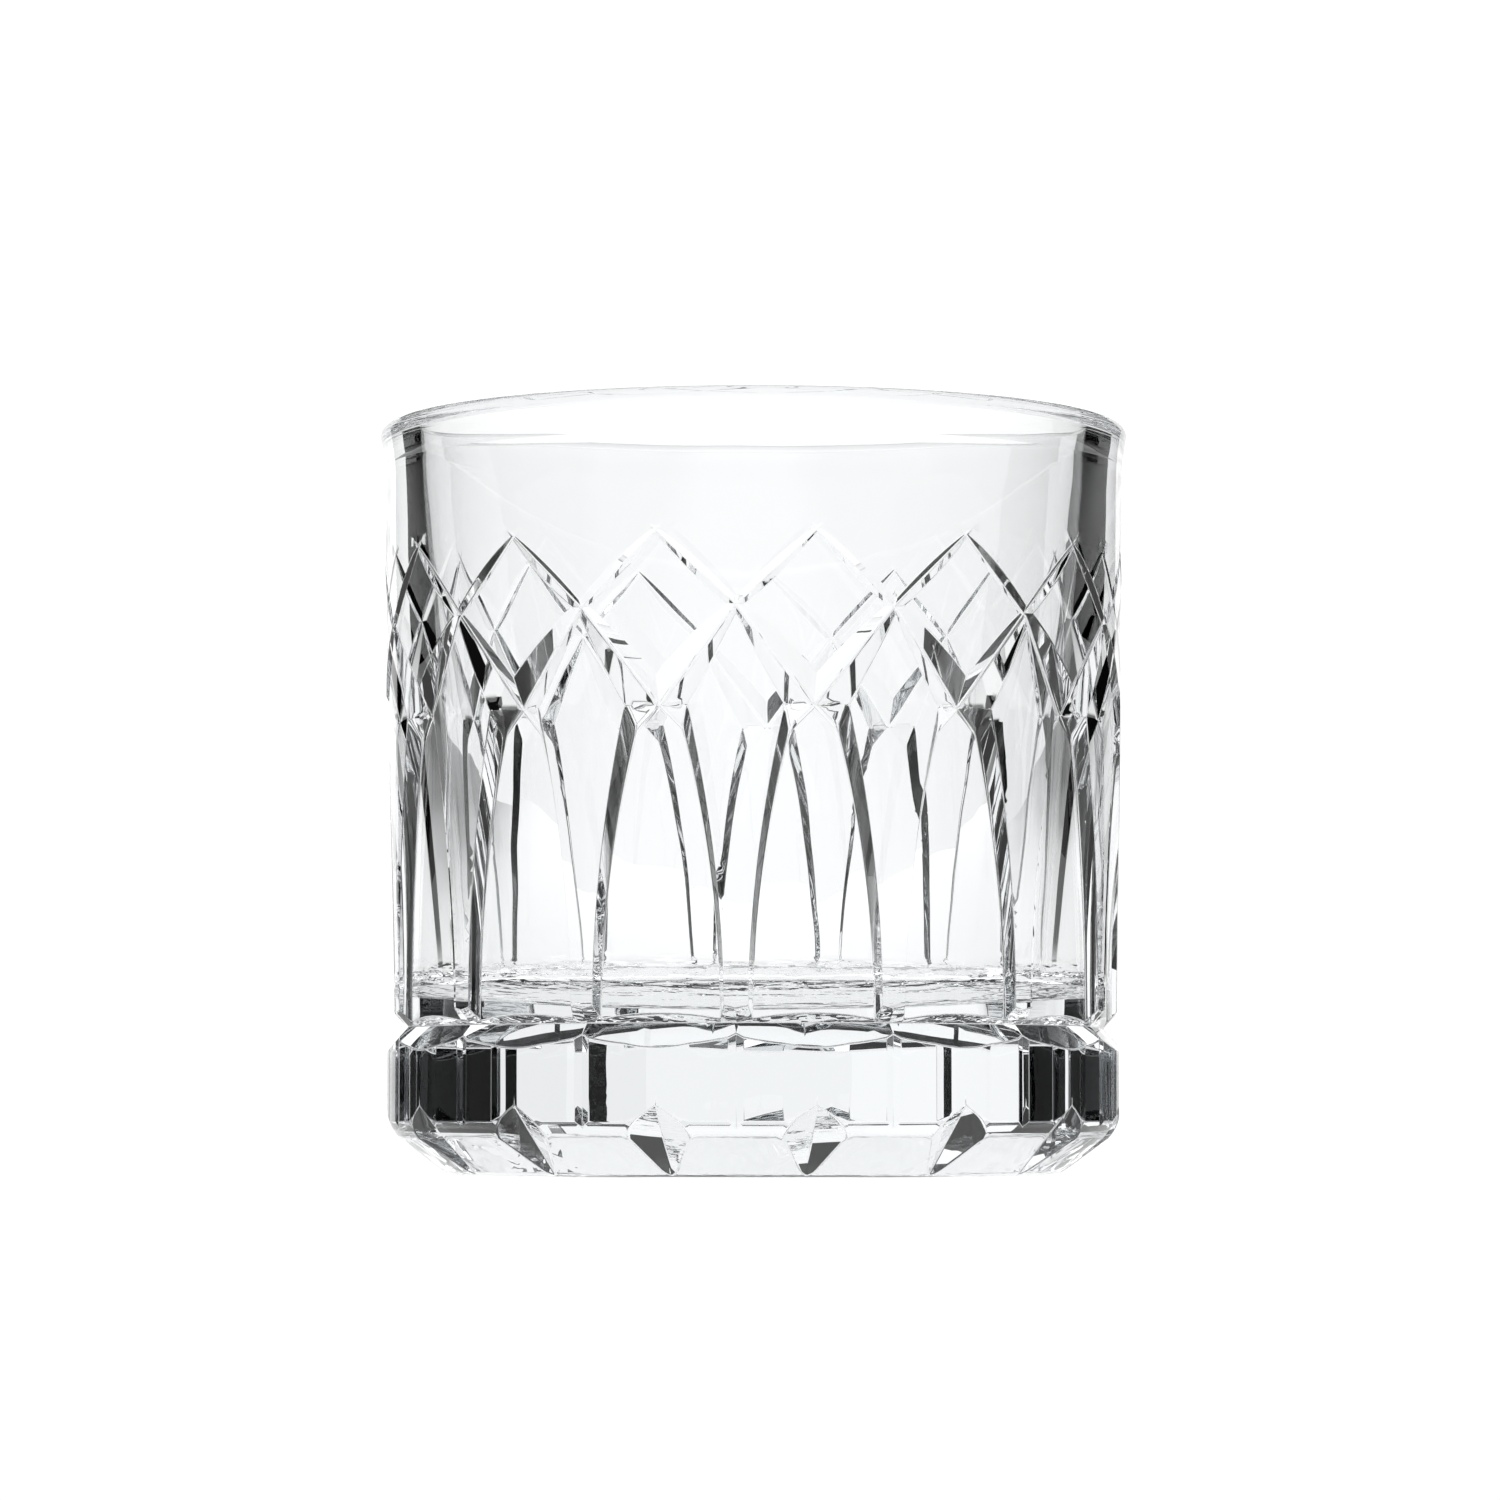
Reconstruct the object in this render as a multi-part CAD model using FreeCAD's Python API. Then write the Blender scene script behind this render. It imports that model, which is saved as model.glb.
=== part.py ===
import FreeCAD, Part
import math
import os

# A pressed-glass whiskey tumbler: one piece of clear glass with a thick base.
# Millimetres, +Z up. The origin is on the axis, on the surface it stands on.
# The cut pattern repeats round the axis. Each sector is one "bay": a flat-topped
# rib stands on each side of it, and a pointed arch and a diamond lie between.

# Driving dimensions: the turned body. A pair is a radius and a height.
HEIGHT = 84.3
LIP_RADIUS = 42.15
LIP_OUTER_ROUND = 1.3  # radius of the lip's outer edge
LIP_INNER_ROUND = 1.5
LIP_INNER_RADIUS = 37.6
FLARE_Z = 78.5  # the lip starts to flare here
FLARE_MIDDLE = (41.83, 81.0)
WALL_TOP_RADIUS = 41.65  # outside radius where the flare starts
WALL_LOW_RADIUS = 41.0  # outside radius just above the waist groove
WALL_LOW_Z = 18.0
FOOT_RADIUS = 41.2  # the foot before its windows are cut
FOOT_TOP_Z = 15.0
FOOT_ROUND_Z = 7.5  # the foot's side turns in below this
FOOT_ROUND_MIDDLE = (40.8, 5.6)
CHAMFER_TOP = (39.8, 4.1)
CHAMFER_LOW = (35.0, 0.55)
CONTACT_ROUND_MIDDLE = (34.1, 0.14)
CONTACT_OUTER_RADIUS = 33.0
CONTACT_INNER_RADIUS = 29.5
UNDERSIDE_RISE = 1.6  # hollow of the underside on the axis

# Driving dimensions: the cavity
BORE_TOP_RADIUS = 37.2
BORE_TOP_Z = 80.0
BORE_LOW_RADIUS = 33.2
BORE_FLOOR_Z = 21.0
BORE_CORNER_RADIUS = 2.0
FLOOR_DISH = 2.7  # the floor is this much lower on the axis

# Driving dimensions: the cut pattern
BAYS = 15
CUT_SLOPE = math.radians(33.0)  # between a mitre's face and the wall
CROSSING_Z = 60.9  # two mitres cross here, on a rib's axis
CROSSING_DEPTH = 0.35
DIAMOND_TOP_Z = 68.9
DIAMOND_TOP_DEPTH = 0.15
POINT_Z = 50.3  # lowest point of a diamond, over the arch
POINT_RADIUS = 39.65
ARCH_FLOOR_RADIUS = 39.65
ARCH_OUTER_X = 42.7  # the arch's outline is given in two planes, this far from the axis
ARCH_INNER_X = 38.5
ARCH_TOP_Z = 51.0
ARCH_OUTER_WIDTHS = (8.6, 7.57, 4.81)  # half widths at the waist, half way up and the top
ARCH_INNER_WIDTHS = (6.2, 4.91, 0.52)
ARCH_SHOULDER = (39.56, 2.6, 47.7)  # a point on the arch's sloping top: along X, along Y, height
WAIST_Z = 16.5
WAIST_APOTHEM = 38.75  # from the axis to the bottom of each straight waist cut
WAIST_SPREAD = 1.1  # half height of the waist cut over its depth
BAND_RADIUS = 40.95  # outside radius of the foot between its windows
WINDOW_REACH = 41.15  # from the axis to the middle of the slightly raised window in each bay
WINDOW_RADIUS = 18.0
GROOVE_RADIUS = 40.72  # from the axis to the bottom of the fine groove down each rib's foot
GROOVE_SLOPE = math.radians(15.0)  # between a groove's face and the foot
NOTCH_TOP = (41.0, 7.6)  # the notch across the foot's edge: radius, height
NOTCH_END = (34.4, 0.3)
NOTCH_SLOPE = math.radians(22.0)  # between a face of the notch and the foot

# Sizes of the cutters. They only have to be large enough to clear the glass.
CLEARANCE = 2.0
UPPER_MITRE_REACH = 3.0  # how far up its faces a V cutter goes
UPPER_MITRE_ENDS = (1.5, 3.0)  # how far it runs on past the crossing, and past the other end
LOWER_MITRE_REACH = 8.0
LOWER_MITRE_ENDS = (2.5, 4.0)
NOTCH_REACH = 6.0
NOTCH_ENDS = (3.0, 3.0)
WAIST_REACH = 5.0
BLOCK_X = 32.0  # a block over one bay starts this far from the axis
BLOCK_DEPTH = 20.0
BLOCK_WIDTH = 40.0
ROOF_BLOCK = 60.0

BAY = 2.0 * math.pi / BAYS
HALF_BAY = BAY / 2.0


def wall_radius(z):
    """Outside radius of the plain wall at a height."""
    rise = (z - WALL_LOW_Z) / (FLARE_Z - WALL_LOW_Z)
    return WALL_LOW_RADIUS + (WALL_TOP_RADIUS - WALL_LOW_RADIUS) * rise


def point(radius, angle, z):
    """A point from its radius, its angle from the bay's middle and its height.

    The bay's middle faces +X here, and its width runs along Y."""
    return FreeCAD.Vector(radius * math.cos(angle), radius * math.sin(angle), z)


def profile_point(radius, z):
    return FreeCAD.Vector(radius, 0.0, z)


def line(a, b):
    return Part.LineSegment(profile_point(*a), profile_point(*b)).toShape()


def arc(a, middle, b):
    return Part.Arc(profile_point(*a), profile_point(*middle), profile_point(*b)).toShape()


def quarter(a, b, radius):
    """A convex quarter round between a side and the top."""
    side, top = (a, b) if a[1] < b[1] else (b, a)
    inset = radius * (1.0 - math.sqrt(0.5))
    toward_axis = math.copysign(inset, top[0] - side[0])
    return arc(a, (side[0] + toward_axis, top[1] - inset), b)


def dish(radius, edge_z, axis_z):
    """A shallow arc from the axis out to a radius, part of a sphere about the axis."""
    rise = axis_z - edge_z
    sphere = (radius * radius + rise * rise) / (2.0 * rise)
    half_way = radius / 2.0
    drop = sphere - math.copysign(math.sqrt(sphere * sphere - half_way * half_way), sphere)
    return arc((0.0, axis_z), (half_way, axis_z - drop), (radius, edge_z))


def foot_edges():
    """The outline from the axis, under the foot and up to the wall."""
    under = (CONTACT_INNER_RADIUS, 0.0)
    contact = (CONTACT_OUTER_RADIUS, 0.0)
    side = (FOOT_RADIUS, FOOT_ROUND_Z)
    top = (FOOT_RADIUS, FOOT_TOP_Z)
    wall_low = (WALL_LOW_RADIUS, WALL_LOW_Z)
    return [
        dish(CONTACT_INNER_RADIUS, 0.0, UNDERSIDE_RISE),
        line(under, contact),
        arc(contact, CONTACT_ROUND_MIDDLE, CHAMFER_LOW),
        line(CHAMFER_LOW, CHAMFER_TOP),
        arc(CHAMFER_TOP, FOOT_ROUND_MIDDLE, side),
        line(side, top),
        line(top, wall_low),
        line(wall_low, (WALL_TOP_RADIUS, FLARE_Z)),
    ]


def lip_edges():
    """The outline over the lip, from the outside wall to the bore."""
    wall_top = (WALL_TOP_RADIUS, FLARE_Z)
    widest = (LIP_RADIUS, HEIGHT - LIP_OUTER_ROUND)
    outer_top = (LIP_RADIUS - LIP_OUTER_ROUND, HEIGHT)
    inner_top = (LIP_INNER_RADIUS + LIP_INNER_ROUND, HEIGHT)
    inner = (LIP_INNER_RADIUS, HEIGHT - LIP_INNER_ROUND)
    return [
        arc(wall_top, FLARE_MIDDLE, widest),
        quarter(widest, outer_top, LIP_OUTER_ROUND),
        line(outer_top, inner_top),
        quarter(inner_top, inner, LIP_INNER_ROUND),
        line(inner, (BORE_TOP_RADIUS, BORE_TOP_Z)),
    ]


def bore_edges():
    """The outline down the bore and across its floor to the axis."""
    top = (BORE_TOP_RADIUS, BORE_TOP_Z)
    drop = FreeCAD.Vector(BORE_LOW_RADIUS - BORE_TOP_RADIUS, 0.0, BORE_FLOOR_Z - BORE_TOP_Z)
    lean = math.atan2(-drop.x, -drop.z)
    # The corner arc touches the leaning wall and the level floor
    turn = (math.pi / 2.0 + lean) / 2.0
    setback = BORE_CORNER_RADIUS / math.tan(turn)
    foot = FreeCAD.Vector(BORE_LOW_RADIUS, 0.0, BORE_FLOOR_Z)
    wall_end = foot - drop * (setback / drop.Length)
    floor_end = foot - FreeCAD.Vector(setback, 0.0, 0.0)
    centre = floor_end + FreeCAD.Vector(0.0, 0.0, BORE_CORNER_RADIUS)
    outward = (foot - centre).normalize()
    middle = centre + outward * BORE_CORNER_RADIUS
    low = (wall_end.x, wall_end.z)
    floor = (floor_end.x, floor_end.z)
    on_axis = (0.0, BORE_FLOOR_Z - FLOOR_DISH)
    return [
        line(top, low),
        arc(low, (middle.x, middle.z), floor),
        dish(floor_end.x, BORE_FLOOR_Z, BORE_FLOOR_Z - FLOOR_DISH),
        line(on_axis, (0.0, UNDERSIDE_RISE)),
    ]


def turned_body():
    """The plain glass before it is cut."""
    wire = Part.Wire(foot_edges() + lip_edges() + bore_edges())
    return Part.Face(wire).revolve(FreeCAD.Vector(), FreeCAD.Vector(0, 0, 1), 360.0)


def mitre_axes(start, end, outward):
    """Unit vectors along a mitre, across it, and out of the glass."""
    along = (end - start).normalize()
    across = outward.cross(along).normalize()
    return along, across, along.cross(across).normalize()


def mitre(start, end, outward, reach, ends, slope):
    """A V-shaped cutter whose sharp edge runs from start to end, and past both."""
    before, after = ends
    along, across, up = mitre_axes(start, end, outward)
    rise = up * (reach * math.sin(slope))
    spread = across * (reach * math.cos(slope))
    first = start - along * before
    corners = [first, first + rise + spread, first + rise - spread, first]
    section = Part.Face(Part.makePolygon(corners))
    return section.extrude(along * ((end - start).Length + before + after))


def diamond_point():
    return point(POINT_RADIUS, 0.0, POINT_Z)


def crossing(side):
    """Where two mitres cross on the rib at one side of the bay."""
    return point(wall_radius(CROSSING_Z) - CROSSING_DEPTH, side * HALF_BAY, CROSSING_Z)


def outward_at(side):
    """The way out of the glass, half way from the bay's middle to one of its ribs."""
    return point(1.0, side * HALF_BAY / 2.0, 0.0)


def bay_block(low, high):
    """A block that covers one bay's side between two heights."""
    corner = FreeCAD.Vector(BLOCK_X, -BLOCK_WIDTH / 2.0, low)
    return Part.makeBox(BLOCK_DEPTH, BLOCK_WIDTH, high - low, corner)


def diamond_cutters():
    """The four mitres of one bay: the upper and lower sides of its diamond."""
    top = point(wall_radius(DIAMOND_TOP_Z) - DIAMOND_TOP_DEPTH, 0.0, DIAMOND_TOP_Z)
    above_arch = bay_block(POINT_Z, HEIGHT)
    cutters = []
    for side in (-1.0, 1.0):
        start = crossing(side)
        outward = outward_at(side)
        upper = mitre(start, top, outward, UPPER_MITRE_REACH, UPPER_MITRE_ENDS, CUT_SLOPE)
        cutters.append(upper)
        lower = mitre(
            start, diamond_point(), outward, LOWER_MITRE_REACH, LOWER_MITRE_ENDS, CUT_SLOPE
        )
        cutters.append(lower.common(above_arch))
    return cutters


def arch_outline(distance, half_widths):
    """One closed outline of the arch, in a plane at a distance from the axis."""
    left_wall = []
    right_wall = []
    heights = (WAIST_Z, (WAIST_Z + ARCH_TOP_Z) / 2.0, ARCH_TOP_Z)
    for half_width, z in zip(half_widths, heights):
        left_wall.append(FreeCAD.Vector(distance, -half_width, z))
        right_wall.append(FreeCAD.Vector(distance, half_width, z))
    edges = [
        Part.LineSegment(left_wall[0], right_wall[0]).toShape(),
        Part.Arc(*right_wall).toShape(),
        Part.LineSegment(right_wall[2], left_wall[2]).toShape(),
        Part.Arc(left_wall[2], left_wall[1], left_wall[0]).toShape(),
    ]
    return Part.Wire(edges)


def arch_roof():
    """The two planes that close the arch's top, as a long gabled block.

    Each plane meets the mitre above it in a level line through the diamond's point."""
    tip = diamond_point()
    blocks = []
    for side in (1.0, -1.0):
        _, across, up = mitre_axes(crossing(side), tip, outward_at(side))
        lower_face = up * math.cos(CUT_SLOPE) - across * (side * math.sin(CUT_SLOPE))
        level = lower_face.cross(FreeCAD.Vector(0.0, 0.0, 1.0))
        shoulder = FreeCAD.Vector(ARCH_SHOULDER[0], ARCH_SHOULDER[1] * side, ARCH_SHOULDER[2])
        outward = level.cross(shoulder - tip).normalize()
        if outward.x < 0.0:
            outward = -outward
        plane = Part.Plane(tip, outward)
        face = plane.toShape(-ROOF_BLOCK, ROOF_BLOCK, -ROOF_BLOCK, ROOF_BLOCK)
        blocks.append(face.extrude(outward * ROOF_BLOCK))
    return blocks[0].common(blocks[1])


def arch_cutter():
    """The recess under one diamond: a pointed arch with sloping sides."""
    outer = arch_outline(ARCH_OUTER_X, ARCH_OUTER_WIDTHS)
    inner = arch_outline(ARCH_INNER_X, ARCH_INNER_WIDTHS)
    sides = Part.makeLoft([inner, outer], True, True)
    core = Part.makeCylinder(ARCH_FLOOR_RADIUS, POINT_Z)
    return sides.common(arch_roof()).common(bay_block(0.0, POINT_Z)).cut(core)


def regular_outline(apothem, z):
    """A closed outline with one straight side to a bay."""
    radius = apothem / math.cos(HALF_BAY)
    corners = []
    for k in range(BAYS + 1):
        angle = -math.pi / 2.0 + k * BAY
        corners.append(point(radius, angle, z))
    return Part.makePolygon(corners)


def waist_cutter():
    """The waist groove: a V cut straight across each bay, mitred at the ribs."""
    rise = WAIST_REACH * WAIST_SPREAD
    base = FreeCAD.Vector(0.0, 0.0, WAIST_Z - rise)
    ring = Part.makeCylinder(LIP_RADIUS + CLEARANCE, 2.0 * rise, base)
    for z in (WAIST_Z - rise, WAIST_Z + rise):
        outlines = [
            regular_outline(WAIST_APOTHEM, WAIST_Z),
            regular_outline(WAIST_APOTHEM + WAIST_REACH, z),
        ]
        ring = ring.cut(Part.makeLoft(outlines, True, True))
    return ring


def foot_cutter():
    """What is taken off round the foot. A round band is left, with a raised window in each bay."""
    height = WAIST_Z - CHAMFER_TOP[1]
    base = FreeCAD.Vector(0.0, 0.0, CHAMFER_TOP[1])
    kept = [Part.makeCylinder(BAND_RADIUS, height, base)]
    for k in range(BAYS):
        middle = -math.pi / 2.0 + (k + 0.5) * BAY
        window_axis = point(WINDOW_REACH - WINDOW_RADIUS, middle, CHAMFER_TOP[1])
        kept.append(Part.makeCylinder(WINDOW_RADIUS, height, window_axis))
    return Part.makeCylinder(FOOT_RADIUS + CLEARANCE, height, base).cut(kept)


def groove_cutter():
    """The fine upright V groove down the foot of the rib at one side of a bay."""
    rise = FOOT_RADIUS + CLEARANCE - GROOVE_RADIUS
    half_width = rise / math.tan(GROOVE_SLOPE)
    low = CHAMFER_TOP[1]
    corners = [
        FreeCAD.Vector(GROOVE_RADIUS, 0.0, low),
        FreeCAD.Vector(GROOVE_RADIUS + rise, half_width, low),
        FreeCAD.Vector(GROOVE_RADIUS + rise, -half_width, low),
    ]
    section = Part.Face(Part.makePolygon(corners + corners[:1]))
    return placed(section.extrude(FreeCAD.Vector(0.0, 0.0, WAIST_Z - low)), HALF_BAY)


def notch_cutter():
    """The kite-shaped notch across the foot's lower edge."""
    start = FreeCAD.Vector(NOTCH_TOP[0], 0.0, NOTCH_TOP[1])
    end = FreeCAD.Vector(NOTCH_END[0], 0.0, NOTCH_END[1])
    outward = FreeCAD.Vector(1.0, 0.0, -1.0)
    return mitre(start, end, outward, NOTCH_REACH, NOTCH_ENDS, NOTCH_SLOPE)


def bay_cutters():
    cutters = diamond_cutters()
    cutters += [arch_cutter(), notch_cutter(), groove_cutter()]
    return cutters


def placed(shape, angle):
    """A copy of a shape turned round the axis."""
    copy = shape.copy()
    copy.rotate(FreeCAD.Vector(), FreeCAD.Vector(0, 0, 1), math.degrees(angle))
    return copy


def tumbler_glass():
    """The whole glass. A rib faces -Y, and the bays' middles lie half a bay off it."""
    one_bay = bay_cutters()
    cutters = [waist_cutter(), foot_cutter()]
    for k in range(BAYS):
        angle = -math.pi / 2.0 + (k + 0.5) * BAY
        cutters += [placed(shape, angle) for shape in one_bay]
    return turned_body().cut(cutters)


os.makedirs("parts", exist_ok=True)
glass = tumbler_glass()
print("solids", len(glass.Solids), "valid", glass.isValid(), "volume", round(glass.Volume))
glass.Solids[0].exportStep("parts/tumbler_glass.step")
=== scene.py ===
import math

import bpy
import numpy as np
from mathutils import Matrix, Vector
from mathutils.geometry import delaunay_2d_cdt


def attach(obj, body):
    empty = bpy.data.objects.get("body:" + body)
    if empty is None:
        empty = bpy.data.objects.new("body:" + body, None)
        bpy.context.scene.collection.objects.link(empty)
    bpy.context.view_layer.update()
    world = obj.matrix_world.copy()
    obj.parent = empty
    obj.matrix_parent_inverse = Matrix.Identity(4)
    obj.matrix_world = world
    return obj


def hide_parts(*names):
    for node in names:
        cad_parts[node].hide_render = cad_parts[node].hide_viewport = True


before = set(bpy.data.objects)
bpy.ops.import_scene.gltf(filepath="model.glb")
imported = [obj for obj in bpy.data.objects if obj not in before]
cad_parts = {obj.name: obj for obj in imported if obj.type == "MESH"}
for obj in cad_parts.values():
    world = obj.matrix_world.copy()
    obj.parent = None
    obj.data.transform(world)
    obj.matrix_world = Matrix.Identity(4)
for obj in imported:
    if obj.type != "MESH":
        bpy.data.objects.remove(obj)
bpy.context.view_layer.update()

# The glass is modelled in millimetres, in the bay's own frame: the bay's middle faces +X
# there, angles run from it to the rib at half a bay, and the mesh repeats by mirror and turn.
MM = 0.001
BAYS = 15
BAY = 2.0 * math.pi / BAYS
HALF_BAY = BAY / 2.0
FIRST_BAY = -math.pi / 2.0 + HALF_BAY  # a rib faces -Y

# The turned outline, from the lip down, then the cavity. A pair is a radius and a height.
HEIGHT = 84.3
LIP_RADIUS = 42.15
LIP_OUTER_ROUND = 1.3
LIP_INNER_ROUND = 1.5
LIP_INNER_RADIUS = 37.6
FLARE_Z = 78.5
FLARE_MIDDLE = (41.83, 81.0)
WALL_TOP_RADIUS = 41.65
WALL_LOW_RADIUS = 41.0
WALL_LOW_Z = 18.0
FOOT_RADIUS = 41.2
FOOT_TOP_Z = 15.0
FOOT_ROUND_Z = 7.5
FOOT_ROUND_MIDDLE = (40.8, 5.6)
CHAMFER_TOP = (39.8, 4.1)
CHAMFER_LOW = (35.0, 0.55)
CONTACT_ROUND_MIDDLE = (34.1, 0.14)
CONTACT_OUTER_RADIUS = 33.0
CONTACT_INNER_RADIUS = 29.5
UNDERSIDE_RISE = 1.6
BORE_TOP_RADIUS = 37.2
BORE_TOP_Z = 80.0
BORE_LOW_RADIUS = 33.2
BORE_FLOOR_Z = 21.0
BORE_CORNER_RADIUS = 2.0
FLOOR_DISH = 2.7

# The cut pattern: mitres that frame the diamonds, arches, waist, and the foot's own cuts
CUT_SLOPE = math.radians(33.0)
CROSSING_Z = 60.9  # two mitres cross here, on a rib
CROSSING_DEPTH = 0.35
DIAMOND_TOP_Z = 68.9
DIAMOND_TOP_DEPTH = 0.15
POINT_Z = 50.3
POINT_RADIUS = 39.65
ARCH_FLOOR_RADIUS = 39.65
ARCH_OUTER_X = 42.7  # the arch's outline is given in two planes, this far from the axis
ARCH_INNER_X = 38.5
ARCH_TOP_Z = 51.0
ARCH_OUTER_WIDTHS = (8.6, 7.57, 4.81)  # half widths at the waist, half way up and the top
ARCH_INNER_WIDTHS = (6.2, 4.91, 0.52)
ARCH_SHOULDER = (39.56, 2.6, 47.7)  # a point on the arch's sloping top
MITRE_TAIL_Z = 58.0  # an upper mitre's tail, past the crossing, stops at this height
WAIST_Z = 16.5
WAIST_APOTHEM = 38.75
WAIST_SPREAD = 1.1  # half height of the waist cut over its depth
BAND_RADIUS = 40.95  # the foot between its raised windows
WINDOW_REACH = 41.15
WINDOW_RADIUS = 18.0
GROOVE_RADIUS = 40.72
GROOVE_SLOPE = math.radians(15.0)
NOTCH_TOP = (41.0, 7.6)
NOTCH_END = (34.4, 0.3)
NOTCH_SLOPE = math.radians(22.0)

# How far two faces blend into each other where they meet, as a depth
LOWER_VALLEY_BLEND = 0.38
UPPER_VALLEY_BLEND = 0.16
MITRE_EDGE_BLEND = 0.07
ARCH_VALLEY_BLEND = 0.25
ARCH_EDGE_BLEND = 0.10
WAIST_BLEND = 0.12
WINDOW_BLEND = 0.01
FOOT_EDGE_BLEND = 0.03
GROOVE_BLEND = 0.02
NOTCH_BLEND = 0.10

# Rays that find the surface start inside the glass: level ones above RAY_Z, and below it
# a fan from one point, which reaches the chamfer and the underside of the foot
RAY_RADIUS = 32.0
RAY_Z = 9.0
CUT_TOP_Z = 74.0  # nothing is cut above this height
NEVER = 1e3  # the distance to a face that a ray doesn't meet
LEAST_TOWARD = 1e-6  # a ray meets a plane only if it goes toward it faster than this
LEAST_OUTWARD = 0.1  # and an upright cylinder only if it goes outward faster than this
LEAST_LEAN = 1e-3  # and an arch's side wall only if it leans across the ray by this

# How many points the turned outline's runs have
CONTACT_POINTS = 5
FOOT_ROUND_POINTS = 9
WALL_POINTS = 3
LIP_POINTS = 9
BORE_POINTS = 12
BORE_CORNER_POINTS = 13
DISH_POINTS = 14

# The mesh of the cut side is made on the side unrolled flat, at about its own size
COLUMNS_PER_HALF_BAY = 12
UNROLL_RADIUS = 41.0
HALF_WIDTH = HALF_BAY * UNROLL_RADIUS
GRID_STEP = 1.5
CREASE_STEP = 0.23  # of the grid on which creases, the lines between faces, are looked for
CREASE_NUDGE = (0.0137, 0.0071)  # keeps that grid off the pattern's own lines
CREASE_MARGIN = 1.5
CREASE_END_MARGIN = 0.3
CREASE_TOLERANCE = 0.004
CREASE_LENGTH = 1.2
CREASE_STEEPNESS = (0.02, 20.0)  # a crease outside these has no lines beside it
BISECTIONS = 26
NORMAL_STEP = 0.002
SLOPE_STEP = 1e-3
NEGLIGIBLE = 1e-9
SNAP = 1e-5
WELD = 0.002


def circle_through(a, b, c):
    """Centre and radius of the circle through three points."""
    (ax, ay), (bx, by), (cx, cy) = a, b, c
    d = 2.0 * (ax * (by - cy) + bx * (cy - ay) + cx * (ay - by))
    a2, b2, c2 = ax * ax + ay * ay, bx * bx + by * by, cx * cx + cy * cy
    x = (a2 * (by - cy) + b2 * (cy - ay) + c2 * (ay - by)) / d
    y = (a2 * (cx - bx) + b2 * (ax - cx) + c2 * (bx - ax)) / d
    return x, y, math.hypot(ax - x, ay - y)


def arc_points(a, middle, b, count):
    """Points along the arc through three points of the outline, both ends included."""
    x, y, radius = circle_through(a, middle, b)
    start = math.atan2(a[1] - y, a[0] - x)
    via = (math.atan2(middle[1] - y, middle[0] - x) - start) % (2.0 * math.pi)
    sweep = (math.atan2(b[1] - y, b[0] - x) - start) % (2.0 * math.pi)
    if via > sweep:
        sweep -= 2.0 * math.pi
    turns = start + sweep * np.linspace(0.0, 1.0, count)
    return [(x + radius * math.cos(t), y + radius * math.sin(t)) for t in turns]


def quarter_points(a, b, radius, count):
    """A convex quarter round between a side and the top."""
    side, top = (a, b) if a[1] < b[1] else (b, a)
    inset = radius * (1.0 - math.sqrt(0.5))
    toward_axis = math.copysign(inset, top[0] - side[0])
    return arc_points(a, (side[0] + toward_axis, top[1] - inset), b, count)


def dish_points(radius, edge_z, axis_z, count):
    """A shallow spherical dish, from near the axis out to a radius."""
    rise = axis_z - edge_z
    sphere = (radius * radius + rise * rise) / (2.0 * rise)
    points = []
    for r in np.linspace(radius / count, radius, count):
        drop = sphere - math.copysign(math.sqrt(sphere * sphere - r * r), sphere)
        points.append((float(r), axis_z - drop))
    return points


def foot_outline():
    """The outline from the inside of the contact ring up to the ray height."""
    side = (FOOT_RADIUS, FOOT_ROUND_Z)
    points = [(CONTACT_INNER_RADIUS, 0.0), (CONTACT_OUTER_RADIUS, 0.0)]
    points += arc_points(points[-1], CONTACT_ROUND_MIDDLE, CHAMFER_LOW, CONTACT_POINTS)[1:]
    points += arc_points(CHAMFER_TOP, FOOT_ROUND_MIDDLE, side, FOOT_ROUND_POINTS)
    points.append((FOOT_RADIUS, RAY_Z))
    return np.array(points)


FOOT = foot_outline()
FOOT_RUN = np.concatenate(([0.0], np.cumsum(np.hypot(*np.diff(FOOT, axis=0).T))))
RAY_S = FOOT_RUN[-1]  # the outline's length below the ray height
TOP_S = RAY_S + CUT_TOP_Z - RAY_Z


def wall_radius(z):
    """Outside radius of the uncut side at a height."""
    rise = (z - WALL_LOW_Z) / (FLARE_Z - WALL_LOW_Z)
    wall = WALL_LOW_RADIUS + (WALL_TOP_RADIUS - WALL_LOW_RADIUS) * rise
    return np.where(z < (FOOT_TOP_Z + WALL_LOW_Z) / 2.0, FOOT_RADIUS, wall)


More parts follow.
